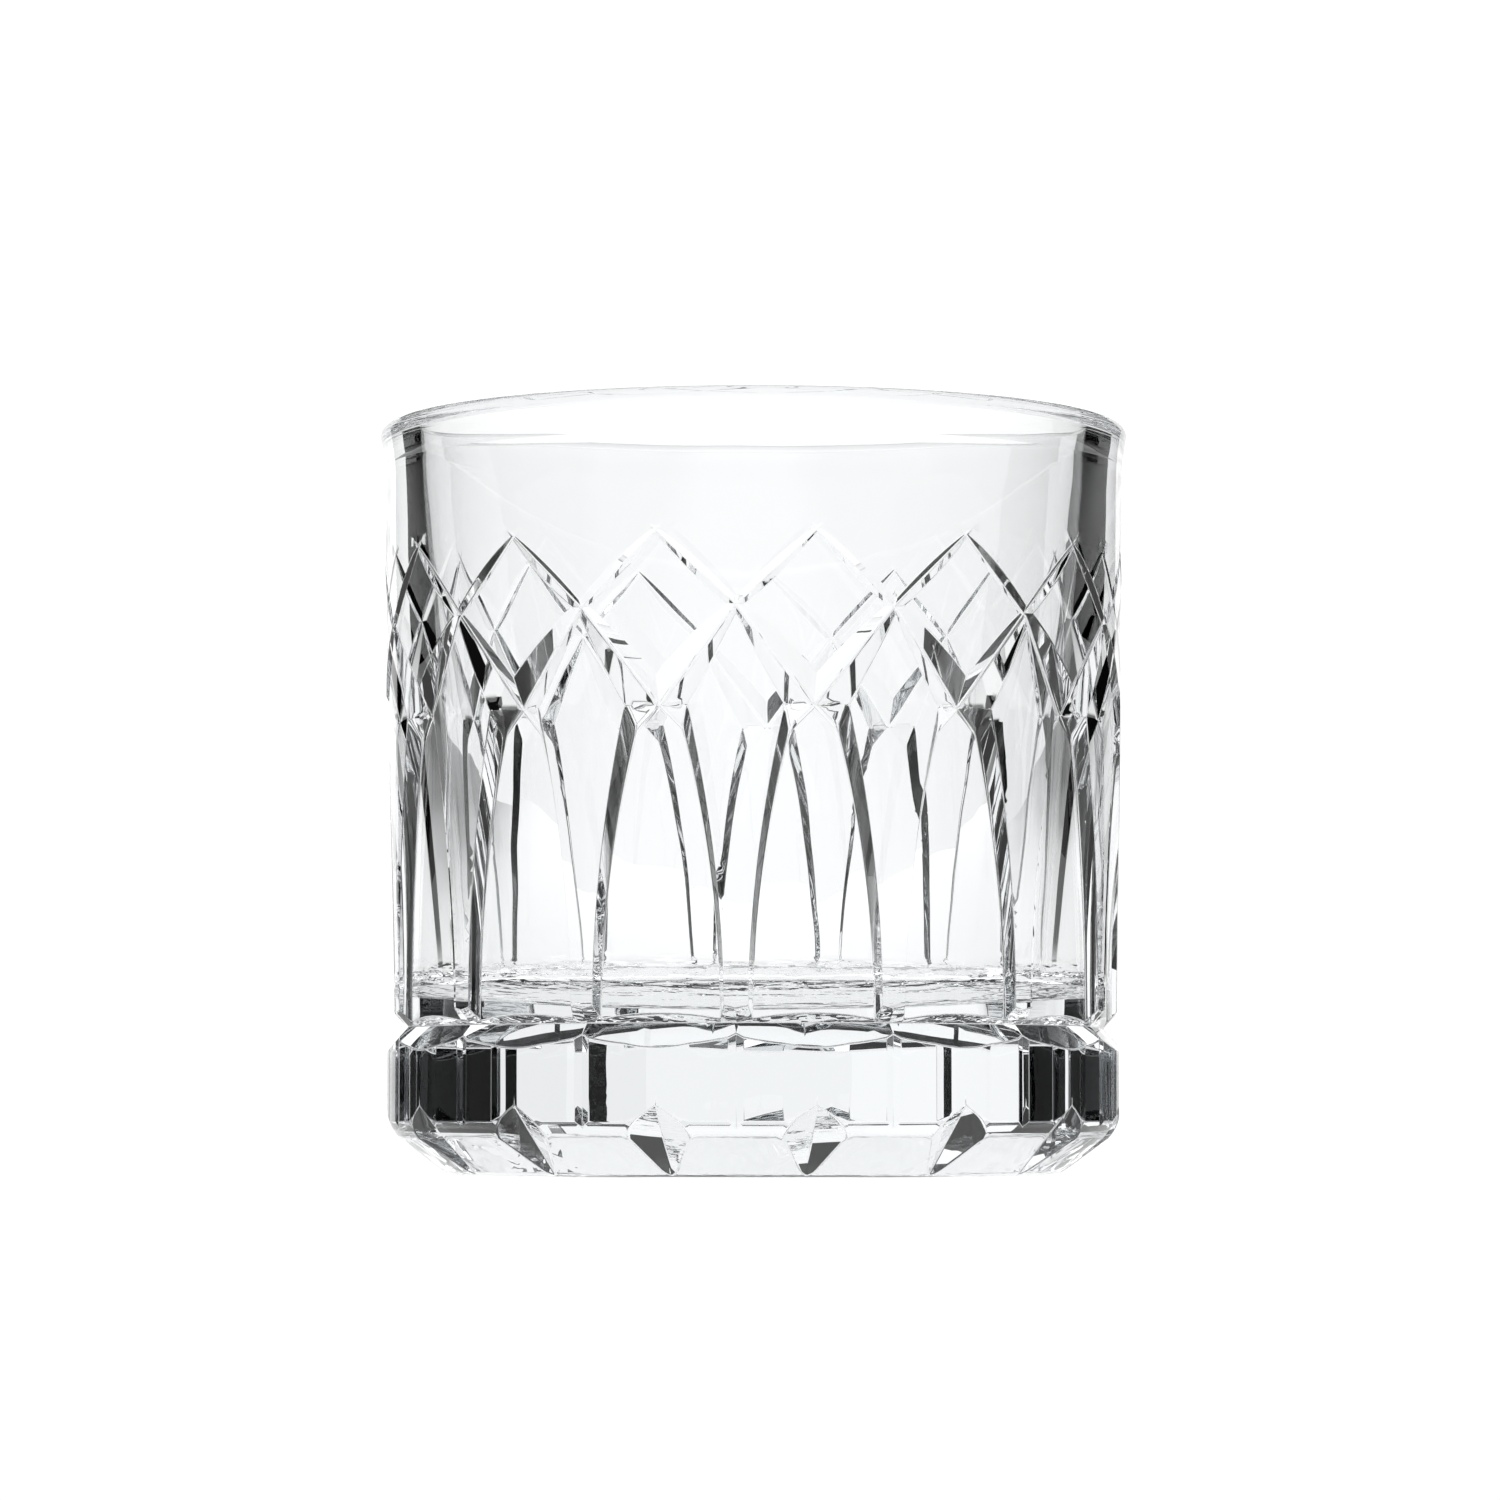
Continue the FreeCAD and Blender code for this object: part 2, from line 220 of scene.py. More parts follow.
class Rays:
    """Rays out of the glass at angles round the axis and places along the outline."""

    def __init__(self, angle, s):
        self.angle, self.s = np.broadcast_arrays(np.asarray(angle, float), np.asarray(s, float))
        low = self.s < RAY_S
        self.z = np.where(low, 0.0, self.s - RAY_S + RAY_Z)
        foot_r = np.interp(self.s, FOOT_RUN, FOOT[:, 0])
        foot_z = np.interp(self.s, FOOT_RUN, FOOT[:, 1])
        reach = np.hypot(foot_r - RAY_RADIUS, foot_z - RAY_Z)
        self.low = low
        self.start_z = np.where(low, RAY_Z, self.z)
        self.run_r = np.where(low, (foot_r - RAY_RADIUS) / reach, 1.0)
        self.run_z = np.where(low, (foot_z - RAY_Z) / reach, 0.0)
        self.base = np.where(low, reach, wall_radius(self.z) - RAY_RADIUS)

    def mirrored(self, about):
        """The same rays as the pattern's mirror image about an angle sees them."""
        return Rays(2.0 * about - self.angle, self.s)

    def plane(self, normal, offset):
        """Distance along each ray to a plane in the bay's frame."""
        nx, ny, nz = normal
        level = nx * np.cos(self.angle) + ny * np.sin(self.angle)
        toward = level * self.run_r + nz * self.run_z
        start = level * RAY_RADIUS + nz * self.start_z
        ahead = toward > LEAST_TOWARD
        return np.where(ahead, (offset - start) / np.where(ahead, toward, 1.0), NEVER)

    def upright_round(self, reach, radius):
        """Distance along each ray to an upright cylinder, out to a reach in the bay's middle."""
        offset = reach - radius
        across = offset * np.sin(self.angle)
        met = (np.abs(across) < radius) & (self.run_r > LEAST_OUTWARD)
        depth = np.sqrt(np.where(met, radius * radius - across * across, 0.0))
        radial = offset * np.cos(self.angle) + depth - RAY_RADIUS
        return np.where(met, radial / np.where(met, self.run_r, 1.0), -NEVER)

    def points(self, distance):
        r = RAY_RADIUS + self.run_r * distance
        z = self.start_z + self.run_z * distance
        return np.stack((r * np.cos(self.angle), r * np.sin(self.angle), z), axis=-1)


def low_blend(a, b, width):
    """The lesser of two distances, with a rounded ridge where they cross."""
    near = np.maximum(width - np.abs(a - b), 0.0)
    return np.minimum(a, b) - near * near / (4.0 * width)


def high_blend(a, b, width):
    """The greater of two distances, with a rounded valley where they cross."""
    return -low_blend(-a, -b, width)


def at_angle(radius, angle, z):
    """A point from its radius, its angle from the bay's middle and its height."""
    return Vector((radius * math.cos(angle), radius * math.sin(angle), z))


def mitre_planes(start, end, outward, slope):
    """The two planes of a V cut whose bottom runs from start to end."""
    along = (end - start).normalized()
    across = outward.cross(along).normalized()
    up = along.cross(across).normalized()
    planes = []
    for side in (1.0, -1.0):
        normal = up * math.cos(slope) - across * (side * math.sin(slope))
        planes.append((tuple(normal), normal.dot(start)))
    return planes


CROSSING = at_angle(float(wall_radius(CROSSING_Z)) - CROSSING_DEPTH, HALF_BAY, CROSSING_Z)
DIAMOND_TOP = at_angle(float(wall_radius(DIAMOND_TOP_Z)) - DIAMOND_TOP_DEPTH, 0.0, DIAMOND_TOP_Z)
DIAMOND_POINT = at_angle(POINT_RADIUS, 0.0, POINT_Z)
MITRE_OUTWARD = at_angle(1.0, HALF_BAY / 2.0, 0.0)
UPPER_MITRE = mitre_planes(CROSSING, DIAMOND_TOP, MITRE_OUTWARD, CUT_SLOPE)
LOWER_MITRE = mitre_planes(CROSSING, DIAMOND_POINT, MITRE_OUTWARD, CUT_SLOPE)
NOTCH = mitre_planes(
    Vector((NOTCH_TOP[0], 0.0, NOTCH_TOP[1])),
    Vector((NOTCH_END[0], 0.0, NOTCH_END[1])),
    Vector((1.0, 0.0, -1.0)),
    NOTCH_SLOPE,
)


def roof_plane():
    """The sloping plane that closes one side of an arch's top, below the mitre's lower face."""
    lower_face = Vector(max(LOWER_MITRE, key=lambda plane: plane[0][2])[0])
    level = lower_face.cross(Vector((0.0, 0.0, 1.0)))
    normal = level.cross(Vector(ARCH_SHOULDER) - DIAMOND_POINT).normalized()
    if normal.x < 0.0:
        normal.negate()
    return tuple(normal), normal.dot(DIAMOND_POINT)


ROOF = roof_plane()
GROOVE = [
    ((math.cos(HALF_BAY + lean), math.sin(HALF_BAY + lean), 0.0), GROOVE_RADIUS * math.cos(lean))
    for lean in (GROOVE_SLOPE, -GROOVE_SLOPE)
]
WAIST_TILT = 1.0 / WAIST_SPREAD
WAIST = [
    ((1.0, 0.0, -WAIST_TILT), WAIST_APOTHEM - WAIST_Z * WAIST_TILT),
    ((1.0, 0.0, WAIST_TILT), WAIST_APOTHEM + WAIST_Z * WAIST_TILT),
]


def arch_half_width(half_widths, z):
    """Half width of one of the arch's outlines at a height."""
    heights = (WAIST_Z, (WAIST_Z + ARCH_TOP_Z) / 2.0, ARCH_TOP_Z)
    x, y, radius = circle_through(*zip(half_widths, heights))
    return x + np.sqrt(np.maximum(radius * radius - (z - y) ** 2, 0.0))


def flank(rays):
    """Distance to the arch's sloping side wall."""
    outer = arch_half_width(ARCH_OUTER_WIDTHS, rays.z)
    inner = arch_half_width(ARCH_INNER_WIDTHS, rays.z)
    widening = (outer - inner) / (ARCH_OUTER_X - ARCH_INNER_X)
    reach = inner - widening * ARCH_INNER_X
    lean = np.sin(np.abs(rays.angle)) - widening * np.cos(rays.angle)
    met = lean < -LEAST_LEAN
    radius = np.where(met, reach / np.where(met, lean, -1.0), -NEVER)
    return np.where(met, radius - RAY_RADIUS, NEVER)


def cuts(rays):
    """Every cut: distances to its faces, their blend into each other, and into what it cuts."""
    in_arch = (rays.z > WAIST_Z) & (rays.z < POINT_Z)
    in_foot = rays.z < WAIST_Z
    floor = np.full(rays.z.shape, ARCH_FLOOR_RADIUS - RAY_RADIUS)
    roof = Rays(np.abs(rays.angle), rays.s).plane(*ROOF)
    arch = [np.where(in_arch, face, NEVER) for face in (flank(rays), floor, roof)]
    folded = Rays(HALF_BAY - np.abs(HALF_BAY - rays.angle), rays.s)
    window = folded.upright_round(WINDOW_REACH, WINDOW_RADIUS)
    band = rays.upright_round(BAND_RADIUS, BAND_RADIUS)
    foot = [np.where(in_foot & (window > 0.0), face, NEVER) for face in (window, band)]
    groove = [np.where(in_foot, rays.plane(*p), NEVER) for p in GROOVE]
    found = [
        (foot, WINDOW_BLEND, FOOT_EDGE_BLEND),
        (groove, GROOVE_BLEND, GROOVE_BLEND),
        (arch, ARCH_VALLEY_BLEND, ARCH_EDGE_BLEND),
    ]
    for view in (rays, rays.mirrored(0.0), rays.mirrored(HALF_BAY)):
        lower = [np.where(view.z > POINT_Z, view.plane(*p), NEVER) for p in LOWER_MITRE]
        upper = [np.where(view.z > MITRE_TAIL_Z, view.plane(*p), NEVER) for p in UPPER_MITRE]
        found.append((lower, LOWER_VALLEY_BLEND, MITRE_EDGE_BLEND))
        found.append((upper, UPPER_VALLEY_BLEND, MITRE_EDGE_BLEND))
    waist = [np.where(rays.low, NEVER, rays.plane(*p)) for p in WAIST]
    notch = [np.where(in_foot, rays.plane(*p), NEVER) for p in NOTCH]
    found.append((waist, WAIST_BLEND, WAIST_BLEND))
    found.append((notch, NOTCH_BLEND, NOTCH_BLEND))
    return found


def surface(x, s):
    """Points on the finished side, at places of the unrolled side."""
    rays = Rays(np.asarray(x) / UNROLL_RADIUS, s)
    depth = rays.base
    for faces, inner_blend, outer_blend in cuts(rays):
        cut = faces[0]
        for face in faces[1:]:
            cut = high_blend(cut, face, inner_blend)
        depth = low_blend(depth, cut, outer_blend)
    return rays.points(depth)


def surface_normals(x, s):
    """Outward normals of the finished side."""
    after = np.minimum(s + NORMAL_STEP, TOP_S)
    before = np.maximum(s - NORMAL_STEP, 0.0)
    across = surface(x + NORMAL_STEP, s) - surface(x - NORMAL_STEP, s)
    along = surface(x, after) - surface(x, before)
    normals = np.cross(across, along)
    return normals / np.linalg.norm(normals, axis=-1, keepdims=True)


def faces_at(x, s):
    """The number of the face that shows at each place, and the distances to every face."""
    rays = Rays(np.asarray(x) / UNROLL_RADIUS, s)
    distances = [rays.base]
    number = np.zeros(rays.z.shape, int)
    nearest = rays.base
    for faces, _, _ in cuts(rays):
        values = np.stack(faces)
        deepest = values.argmax(axis=0)
        value = values.max(axis=0)
        shows = value < nearest
        number = np.where(shows, len(distances) + deepest, number)
        nearest = np.where(shows, value, nearest)
        distances.extend(faces)
    return number, np.stack(distances)


def face_groups():
    """For each face its cut's number, and each cut's two blends."""
    found = cuts(Rays(np.zeros(1), np.full(1, RAY_S)))
    owner = [0]
    blends = [(0.0, 0.0)]
    for k, (faces, inner_blend, outer_blend) in enumerate(found, start=1):
        owner += [k] * len(faces)
        blends.append((inner_blend, outer_blend))
    return owner, blends


OWNER, BLENDS = face_groups()


def blend_of(a, b):
    """How far two faces blend into each other."""
    if OWNER[a] == OWNER[b]:
        return BLENDS[OWNER[a]][0]
    return BLENDS[max(OWNER[a], OWNER[b])][1]


def crossings(start, end):
    """Bisects edges between places on different faces, and says which two faces meet."""
    first = faces_at(start[:, 0], start[:, 1])[0]
    last = faces_at(end[:, 0], end[:, 1])[0]
    for _ in range(BISECTIONS):
        middle = (start + end) / 2.0
        number = faces_at(middle[:, 0], middle[:, 1])[0]
        same = number == first
        start = np.where(same[:, None], middle, start)
        end = np.where(same[:, None], end, middle)
        last = np.where(same, last, number)
    return (start + end) / 2.0, np.stack((np.minimum(first, last), np.maximum(first, last)), -1)


def crease_network():
    """Points where faces meet, the pair that meets at each, and the links between them."""
    nudge_x, nudge_s = CREASE_NUDGE
    xs = np.arange(-CREASE_MARGIN, HALF_WIDTH + CREASE_MARGIN, CREASE_STEP) + nudge_x
    ss = np.arange(CREASE_END_MARGIN, TOP_S - CREASE_END_MARGIN, CREASE_STEP) + nudge_s
    grid_x, grid_s = np.meshgrid(xs, ss, indexing="ij")
    number = faces_at(grid_x, grid_s)[0]
    places = np.stack((grid_x, grid_s), -1)
    across = np.argwhere(number[:-1] != number[1:])
    along = np.argwhere(number[:, :-1] != number[:, 1:])
    start = np.concatenate((places[tuple(across.T)], places[tuple(along.T)]))
    end = np.concatenate((places[tuple((across + (1, 0)).T)], places[tuple((along + (0, 1)).T)]))
    points, pairs = crossings(start, end)
    cells = {}
    for k, (i, j) in enumerate(across.tolist()):
        cells.setdefault((i, j), []).append(k)
        cells.setdefault((i, j - 1), []).append(k)
    for k, (i, j) in enumerate(along.tolist(), start=len(across)):
        cells.setdefault((i, j), []).append(k)
        cells.setdefault((i - 1, j), []).append(k)
    points = points.tolist()
    pairs = [tuple(p) for p in pairs.tolist()]
    links = []
    for members in cells.values():
        if len(members) == 2:
            links.append(tuple(members))
        elif len(members) > 2:
            points.append(np.mean([points[m] for m in members], axis=0).tolist())
            pairs.append(None)
            links += [(m, len(points) - 1) for m in members]
    return points, pairs, links


def simplified(path, points):
    """The fewest points of a path that keep to its line and aren't too far apart."""
    keep = [0, len(path) - 1]
    waiting = [(0, len(path) - 1)]
    while waiting:
        a, b = waiting.pop()
        if b - a < 2:
            continue
        p = np.array([points[n] for n in path[a:b + 1]])
        chord = p[-1] - p[0]
        length = math.hypot(*chord)
        if length < NEGLIGIBLE:
            off = np.hypot(*(p - p[0]).T)
        else:
            off = np.abs((p[:, 0] - p[0, 0]) * chord[1] - (p[:, 1] - p[0, 1]) * chord[0]) / length
        worst = int(off.argmax())
        if off[worst] < CREASE_TOLERANCE and length < CREASE_LENGTH:
            continue
        if off[worst] < CREASE_TOLERANCE:
            worst = (b - a) // 2
        keep.append(a + worst)
        waiting += [(a, a + worst), (a + worst, b)]
    return [path[n] for n in sorted(set(keep))]


def crease_paths():
    """Simplified lines where two faces meet: each a list of points and the pair of faces."""
    points, pairs, links = crease_network()
    near = {}
    for a, b in links:
        near.setdefault(a, []).append(b)
        near.setdefault(b, []).append(a)
    stops = {n for n, m in near.items() if len(m) != 2 or pairs[n] is None}
    stops |= {n for n, m in near.items() for other in m if pairs[other] != pairs[n]}
    walked = set()
    paths = []
    for stop in sorted(stops):
        for step in near[stop]:
            path = [stop, step]
            if (stop, step) in walked:
                continue
            while path[-1] not in stops:
                ahead = [n for n in near[path[-1]] if n != path[-2]]
                path.append(ahead[0])
            walked |= {(path[0], path[1]), (path[-1], path[-2])}
            named = [pairs[n] for n in path if pairs[n] is not None]
            pair = named[len(named) // 2] if named else None
            paths.append((np.array([points[n] for n in simplified(path, points)]), pair))
    return paths


def blend_edges(line, pair):
    """The two lines beside a crease where the blend between its faces ends."""
    if pair is None:
        return []
    a, b = pair
    gap = []
    for turn_x, turn_s in ((1.0, 0.0), (-1.0, 0.0), (0.0, 1.0), (0.0, -1.0)):
        near_x = line[:, 0] + turn_x * SLOPE_STEP
        near_s = line[:, 1] + turn_s * SLOPE_STEP
        distances = faces_at(near_x, near_s)[1]
        gap.append(distances[a] - distances[b])
    slope = np.stack((gap[0] - gap[1], gap[2] - gap[3]), -1) / (2.0 * SLOPE_STEP)
    steepness = np.linalg.norm(slope, axis=-1)
    least, most = CREASE_STEEPNESS
    if not np.all((steepness > least) & (steepness < most)):
        return []
    shift = slope * (blend_of(a, b) / steepness ** 2)[:, None]
    return [line + shift, line - shift]


def clipped(a, b):
    """The part of a segment inside the half bay, or None."""
    low, high = 0.0, 1.0
    if a[0] == b[0]:
        return (a, b) if 0.0 <= a[0] <= HALF_WIDTH else None
    for bound, sign in ((0.0, 1.0), (HALF_WIDTH, -1.0)):
        at_a, at_b = sign * (a[0] - bound), sign * (b[0] - bound)
        if at_a < 0.0 and at_b < 0.0:
            return None
        if at_a < 0.0:
            low = max(low, at_a / (at_a - at_b))
        elif at_b < 0.0:
            high = min(high, at_a / (at_a - at_b))
    if high - low < NEGLIGIBLE:
        return None
    return a + (b - a) * low, a + (b - a) * high


def snapped(x):
    """A place across the half bay, moved onto its edge when it is as good as there."""
    if abs(x) < SNAP:
        return 0.0
    if abs(x - HALF_WIDTH) < SNAP:
        return HALF_WIDTH
    return x


def half_bay_mesh():
    """Places and triangles of the unrolled half bay, with mesh edges along every crease."""
    places = []
    edges = []
    columns = np.linspace(0.0, HALF_WIDTH, COLUMNS_PER_HALF_BAY + 1)
    rows = np.concatenate((FOOT_RUN[:-1], np.arange(RAY_S, TOP_S, GRID_STEP), [TOP_S]))
    for row in rows:
        for column in columns:
            places.append((column, row))
    count = len(columns)
    for j in range(len(rows) - 1):
        for i in (0, count - 1):
            edges.append((j * count + i, (j + 1) * count + i))
    for i in range(count - 1):
        edges.append((i, i + 1))
        edges.append(((len(rows) - 1) * count + i, (len(rows) - 1) * count + i + 1))
    for line, pair in crease_paths():
        for run in [line, *blend_edges(line, pair)]:
            for a, b in zip(run[:-1], run[1:]):
                piece = clipped(a, b)
                if piece is not None:
                    edges.append((len(places), len(places) + 1))
                    places += [tuple(p) for p in piece]
    flat = []
    for x, s in places:
        flat.append(Vector((snapped(x), min(max(s, 0.0), TOP_S))))
    found, _, triangles, *_ = delaunay_2d_cdt(flat, edges, [], 0, SNAP, False)
    found = np.array([(snapped(x), s) for x, s in found])
    return found, np.array(triangles)


class Patchwork:
    """Faces gathered from separate patches, each with its own corner normals."""

    def __init__(self):
        self.points, self.normals, self.faces = [], [], []
        self.count = 0

    def add(self, points, normals, faces):
        self.points.append(points.reshape(-1, 3))
        self.normals.append(normals.reshape(-1, 3))
        self.faces += (np.asarray(faces) + self.count).tolist()
        self.count += len(self.points[-1])

    def mesh(self, name):
        """One welded mesh in metres that keeps every patch's normals at its own corners."""
        points = np.concatenate(self.points)
        normals = np.concatenate(self.normals)
        keys = np.round(points / WELD).astype(np.int64)
        _, first, welded = np.unique(keys, axis=0, return_index=True, return_inverse=True)
        welded = welded.reshape(-1)
        faces, corners = [], []
        for face in self.faces:
            kept = [c for k, c in enumerate(face) if welded[c] != welded[face[k - 1]]]
            if len(kept) > 2:
                faces.append([int(welded[c]) for c in kept])
                corners += kept
        made = bpy.data.meshes.new(name)
        made.from_pydata((points[first] * MM).tolist(), [], faces)
        made.shade_smooth()
        made.normals_split_custom_set(normals[corners].tolist())
        made.update()
        return made


def add_cut_side(work):
    """The cut side of the glass: the half bay, mirrored and turned round the axis."""
    places, triangles = half_bay_mesh()
    x, s = places[:, 0], places[:, 1]
    points = surface(x, s)
    normals = surface_normals(x, s)
    side_a = points[triangles[:, 1]] - points[triangles[:, 0]]
    side_b = points[triangles[:, 2]] - points[triangles[:, 0]]
    inward = (np.cross(side_a, side_b) * normals[triangles[:, 0]]).sum(axis=1) < 0.0
    triangles[inward] = triangles[inward][:, ::-1]
    for bay in range(BAYS):
        turn = FIRST_BAY + bay * BAY
        c, n = math.cos(turn), math.sin(turn)
        for flip in (1.0, -1.0):
            spin = np.array(((c, -n * flip, 0.0), (n, c * flip, 0.0), (0.0, 0.0, 1.0)))
            faces = triangles if flip > 0.0 else triangles[:, ::-1]
            work.add(points @ spin.T, normals @ spin.T, faces)


def straight(a, b, count=2):
    """A straight run of the turned outline with its normals."""
    run = np.linspace(0.0, 1.0, count)[:, None]
    whole = np.array(b) - np.array(a)
    points = np.array(a) + whole * run
    normal = np.array((whole[1], -whole[0])) / math.hypot(*whole)
    return points, np.broadcast_to(normal, points.shape)


def rounded(points):
    """A finely divided round run of the outline, with normals square to its own arc."""
    p = np.array(points)
    x, y, _ = circle_through(p[0], p[len(p) // 2], p[-1])
    normals = p - (x, y)
    normals /= np.hypot(*normals.T)[:, None]
    chord = p[-1] - p[0]
    if normals[0, 0] * chord[1] - normals[0, 1] * chord[0] < 0.0:
        normals = -normals
    return p, normals


def bore_corner():
    """Start, middle and end of the arc that joins the leaning bore to the level floor."""
    lean = math.atan2(BORE_TOP_RADIUS - BORE_LOW_RADIUS, BORE_TOP_Z - BORE_FLOOR_Z)
    setback = BORE_CORNER_RADIUS / math.tan((math.pi / 2.0 + lean) / 2.0)
    top = (BORE_LOW_RADIUS + setback * math.sin(lean), BORE_FLOOR_Z + setback * math.cos(lean))
    end = (BORE_LOW_RADIUS - setback, BORE_FLOOR_Z)
    outward = math.atan2(-BORE_CORNER_RADIUS, setback)
    middle_r = end[0] + BORE_CORNER_RADIUS * math.cos(outward)
    middle_z = end[1] + BORE_CORNER_RADIUS * (1.0 + math.sin(outward))
    return top, (middle_r, middle_z), end


def turned_runs():
    """The turned outline from the top of the cut side over the lip, the bore and the base."""
    lip_side = (LIP_RADIUS, HEIGHT - LIP_OUTER_ROUND)
    lip_top_outer = (LIP_RADIUS - LIP_OUTER_ROUND, HEIGHT)
    lip_top_inner = (LIP_INNER_RADIUS + LIP_INNER_ROUND, HEIGHT)
    lip_inner = (LIP_INNER_RADIUS, HEIGHT - LIP_INNER_ROUND)
    corner_top, corner_middle, floor_edge = bore_corner()
    cut_top = (float(wall_radius(CUT_TOP_Z)), CUT_TOP_Z)
    wall_top = (WALL_TOP_RADIUS, FLARE_Z)
    floor_middle = (0.0, BORE_FLOOR_Z - FLOOR_DISH)
    bore_top = (BORE_TOP_RADIUS, BORE_TOP_Z)
    floor = dish_points(floor_edge[0], BORE_FLOOR_Z, floor_middle[1], DISH_POINTS)
    base = dish_points(CONTACT_INNER_RADIUS, 0.0, UNDERSIDE_RISE, DISH_POINTS)
    return [
        straight(cut_top, wall_top, WALL_POINTS),
        rounded(arc_points(wall_top, FLARE_MIDDLE, lip_side, LIP_POINTS)),
        rounded(quarter_points(lip_side, lip_top_outer, LIP_OUTER_ROUND, LIP_POINTS)),
        straight(lip_top_outer, lip_top_inner),
        rounded(quarter_points(lip_top_inner, lip_inner, LIP_INNER_ROUND, LIP_POINTS)),
        straight(lip_inner, bore_top),
        straight(bore_top, corner_top, BORE_POINTS),
        rounded(arc_points(corner_top, corner_middle, floor_edge, BORE_CORNER_POINTS)),
        rounded([*floor[::-1], floor_middle]),
        rounded([(0.0, UNDERSIDE_RISE), *base]),
    ]


def add_turned(work):
    """The turned part of the glass: upper wall, lip, bore, floor and underside."""
    columns = 2 * BAYS * COLUMNS_PER_HALF_BAY
    angles = FIRST_BAY + np.arange(columns) * (2.0 * math.pi / columns)
    facing = np.stack((np.cos(angles), np.sin(angles)), -1)
    for points, normals in turned_runs():
        rows = len(points)
        place = np.empty((rows, columns, 3))
        normal = np.empty((rows, columns, 3))
        place[:, :, :2] = points[:, None, :1] * facing
        place[:, :, 2] = points[:, 1:]
        normal[:, :, :2] = normals[:, None, :1] * facing
        normal[:, :, 2] = normals[:, 1:]
        faces = []
        for j in range(rows - 1):
            for i in range(columns):
                after = (i + 1) % columns
                low, high = j * columns, (j + 1) * columns
                faces.append((low + i, low + after, high + after, high + i))
        work.add(place, normal, faces)


work = Patchwork()
add_cut_side(work)
add_turned(work)
glass_mesh = work.mesh("glass_wall")
glass = bpy.data.objects.new("glass_wall", glass_mesh)
bpy.context.scene.collection.objects.link(glass)
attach(glass, "root")
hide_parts("tumbler_glass")


# The glass: its colour, and how much its depth holds back
GLASS_COLOUR = (0.985, 0.992, 0.995, 1.0)
GLASS_INDEX = 1.52
DEPTH_TINT = (0.30, 0.37, 0.43, 1.0)
DEPTH_TINT_DENSITY = 2.6

# Its fine waviness: noise scales per metre, and the height of a full wave in metres.
# The ripples lie on the bore, from a height above its floor's edge to a depth below it,
# which are in millimetres like the shape.
MOULD_WAVES = 90.0
MOULD_DETAIL = 1.0
MOULD_STRENGTH = 0.12
RIPPLES = 250.0
RIPPLE_DETAIL = 2.0
RIPPLE_STRETCH = (1.0, 1.0, 4.0)
RIPPLE_STRENGTH = 0.9
RIPPLE_HEIGHT = 3.0
RIPPLE_DEPTH = 4.0
RIPPLE_REACH = 36.0  # between the bore and the outside
BUMP_DISTANCE = 0.0004

# The studio, in metres and degrees. Its screens stand on the table round the glass, and
# their angles run from +Y, which is behind the glass in the main view, toward +X.
TABLE_RADIUS = 1.6
TABLE_SIDES = 64
TABLE_COLOUR = (0.4, 0.4, 0.4, 1.0)
TABLE_ROUGHNESS = 0.7
# The table's glow is a painted pool of light: full in a band along the middle, fading to a dim side
# glow further out to either side
TABLE_GLOW = 0.98
TABLE_SIDE_GLOW = 0.12
TABLE_POOL_FULL_X = 0.17
TABLE_POOL_FADE_END_X = 0.42
ROOM_GLOW = 0.05
SCREEN_RADIUS = 1.1
SCREEN_STEP = 3.0  # degrees between a screen's upright edges
SCREENS = {
    # name: (from, to, top, brightness at the table, brightness at the top)
    "backdrop_left": (-36.0, -14.0, 0.45, 1.16, 1.20),
    "backdrop": (-14.0, 8.0, 0.45, 1.10, 1.18),
    "backdrop_right": (8.0, 24.0, 0.45, 1.03, 1.12),
    "right_flag": (24.0, 84.0, 0.30, 0.0, 0.0),
    "right_wing": (84.0, 118.0, 0.30, 0.04, 0.04),
    "front_screen": (118.0, 230.0, 0.40, 0.35, 0.05),
    "left_wing": (230.0, 275.0, 0.30, 0.04, 0.04),
    "left_flag": (275.0, 324.0, 0.30, 0.0, 0.0),
}

WHITE = (1.0, 1.0, 1.0, 1.0)
BOUNCES = 32
TRANSPARENT_BOUNCES = 16
GLOSSY_BOUNCES = 12

# The camera: metres, degrees, and millimetres for its lens
CAMERA_DISTANCE = 0.683
CAMERA_HEIGHT = 0.0062
CAMERA_PITCH = 3.49
CAMERA_TURN = 2.6
CAMERA_PAN = 0.033
CAMERA_LENS = 145.5
SENSOR_WIDTH = 36.0
CAMERA_RANGE = (0.01, 20.0)


def principled(name):
    """A new material with its one shader node."""
    material = bpy.data.materials.new(name)
    material.use_nodes = True
    return material, material.node_tree.nodes["Principled BSDF"]


def reckoned(tree, operation, first, second):
    """The output of a Math node between a socket and a socket or a number."""
    node = tree.nodes.new("ShaderNodeMath")
    node.operation = operation
    tree.links.new(first, node.inputs[0])
    if isinstance(second, float):
        node.inputs[1].default_value = second
    else:
        tree.links.new(second, node.inputs[1])
    return node.outputs["Value"]


def scaled(tree, place, factors):
    """The output of a node that multiplies a place by a factor along each axis."""
    node = tree.nodes.new("ShaderNodeVectorMath")
    node.operation = "MULTIPLY"
    node.inputs[1].default_value = factors
    tree.links.new(place, node.inputs[0])
    return node.outputs["Vector"]


def noise(tree, place, scale, detail):
    node = tree.nodes.new("ShaderNodeTexNoise")
    node.inputs["Scale"].default_value = scale
    node.inputs["Detail"].default_value = detail
    tree.links.new(place, node.inputs["Vector"])
    return node.outputs["Fac"]


